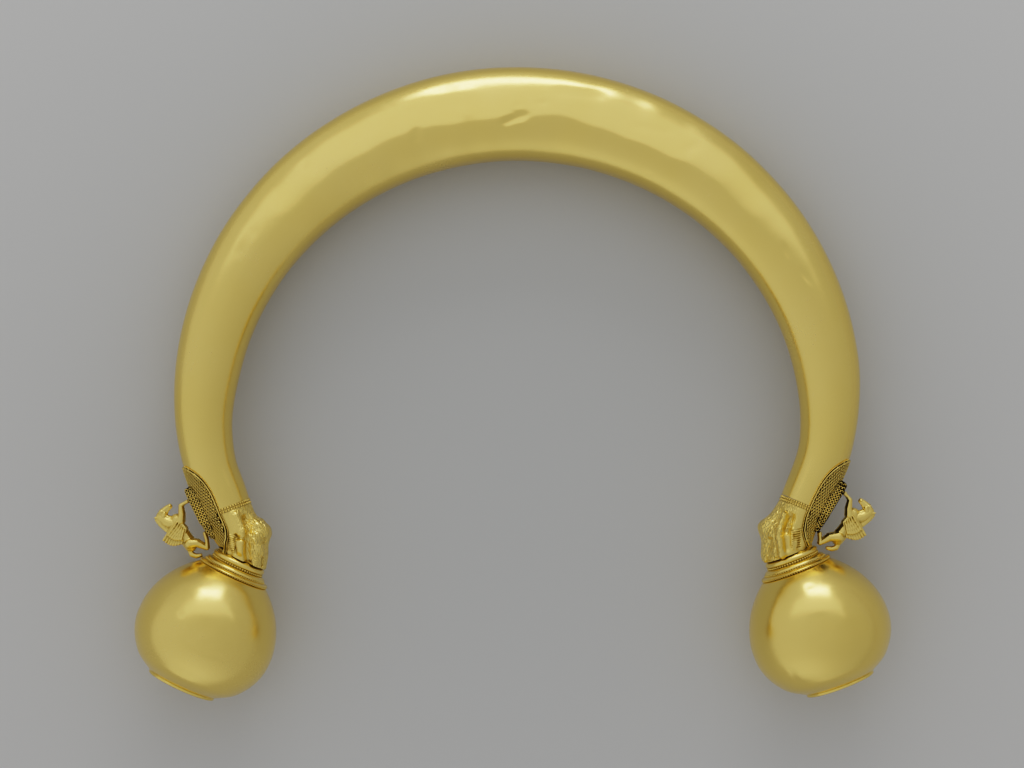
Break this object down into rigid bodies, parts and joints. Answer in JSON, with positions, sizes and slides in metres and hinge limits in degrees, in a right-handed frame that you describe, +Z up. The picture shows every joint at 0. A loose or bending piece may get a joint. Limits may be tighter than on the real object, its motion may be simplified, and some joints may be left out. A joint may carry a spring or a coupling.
{
  "type": "gold torc",
  "caption": "Horseshoe-shaped gold neck torc; the tapering hoop ends in lion's paws on beaded collars and large balls, with winged horses beside them.",
  "frame": {"origin": "on the floor under the middle of the torc's outline", "axes": "+Z up from the floor, +Y from the balls towards the back of the neck, +X to the right as the picture shows it"},
  "size_m": [0.2404, 0.2012, 0.0449],
  "materials": {
    "hoop": "polished gold, soft with age",
    "ball": "polished gold, lightly dented",
    "band": "punched gold bead rows",
    "paw": "chased gold",
    "collar": "polished and beaded gold",
    "filigree": "gold wire openwork, dark between the wires",
    "cast": "cast and chased gold"
  },
  "bodies": {
    "root": {"hoop": "hoop", "left_wrist_band": "band", "left_paw": "paw", "left_collar": "collar", "left_ball": "ball", "left_ball_cap": "ball", "left_filigree_plate": "filigree", "left_winged_horse": "cast", "right_wrist_band": "band", "right_paw": "paw", "right_collar": "collar", "right_ball": "ball", "right_ball_cap": "ball", "right_filigree_plate": "filigree", "right_winged_horse": "cast"}
  },
  "joints": []
}
